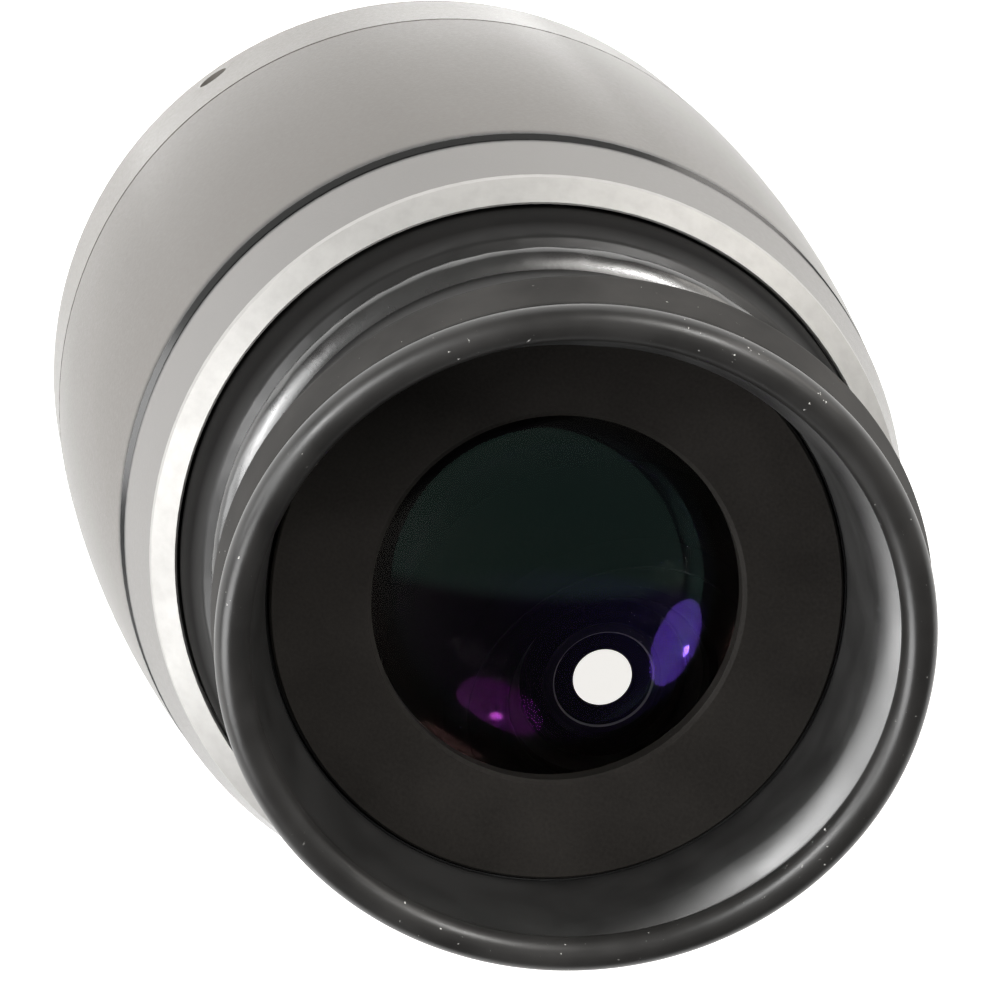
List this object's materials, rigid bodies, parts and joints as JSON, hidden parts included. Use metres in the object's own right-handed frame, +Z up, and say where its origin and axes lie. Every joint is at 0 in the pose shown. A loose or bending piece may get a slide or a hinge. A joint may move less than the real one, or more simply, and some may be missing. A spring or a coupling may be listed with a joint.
{
  "type": "telescope eyepiece",
  "caption": "Long-eye-relief push-fit eyepiece: grey body shell, bright bevelled twist collar, slanted rubber eyecup that rises as the collar turns, coated lens stack and chrome barrel.",
  "frame": {"origin": "centre of the barrel's open end, on the optical axis, at the bottom of the object", "axes": "+Z up the optical axis towards the eye; +Y towards the side where the eyecup's rim stands higher; +X completes the right-handed frame"},
  "size_m": [0.0604, 0.0604, 0.1346],
  "materials": {
    "body_grey": "satin warm grey finish",
    "collar_grey": "satin grey finish",
    "band_grey": "lighter satin grey finish",
    "bright_aluminium": "fine turned bevel",
    "barrel_chrome": "polished plating",
    "rear_black": "matt black",
    "face_black": "matt black",
    "black_anodised": "black anodised",
    "inner_black": "dead black",
    "eyecup_rubber": "soft moulded rubber",
    "seal_rubber": "nitrile",
    "coated_glass": "anti-reflection coated",
    "brass": "turned",
    "steel": "blackened"
  },
  "bodies": {
    "body": {"barrel": "barrel_chrome", "base_plate": "rear_black", "rear_band": "band_grey", "band_set_screws": "steel", "body_shell": "body_grey", "optics_tube": "inner_black", "guide_tube": "black_anodised", "guide_tube_screws": "steel", "face_plate": "face_black", "lens_seal": "seal_rubber", "eye_lens": "coated_glass", "spacer_upper": "inner_black", "crown_lens": "coated_glass", "flint_lens": "coated_glass", "spacer_lower": "inner_black", "third_lens": "coated_glass", "stack_retainer": "inner_black", "upper_baffle": "inner_black", "field_stop": "inner_black", "lower_baffle": "inner_black", "field_cell": "inner_black", "field_flint": "coated_glass", "field_crown": "coated_glass", "field_retainer": "inner_black"},
    "collar": {"twist_collar": "collar_grey", "bevel_ring": "bright_aluminium", "collar_lock_ring": "black_anodised", "collar_friction_ring": "seal_rubber"},
    "eyecup": {"eyecup_carrier": "black_anodised", "follower_pins": "brass", "guide_keys": "brass", "rubber_eyecup": "eyecup_rubber"}
  },
  "joints": [
    {"name": "collar_twist", "type": "hinge", "parent": "body", "child": "collar", "pos_m": [0, 0, 0.098], "axis": [0, 0, 1], "range_deg": [0, 110]},
    {"name": "eyecup_rise", "type": "slide", "parent": "body", "child": "eyecup", "axis": [0, 0, 1], "range_m": [0, 0.008]}
  ],
  "couplings": [
    {"joint": "eyecup_rise", "follows": "collar_twist", "m_per_rad": 0.0041669}
  ]
}
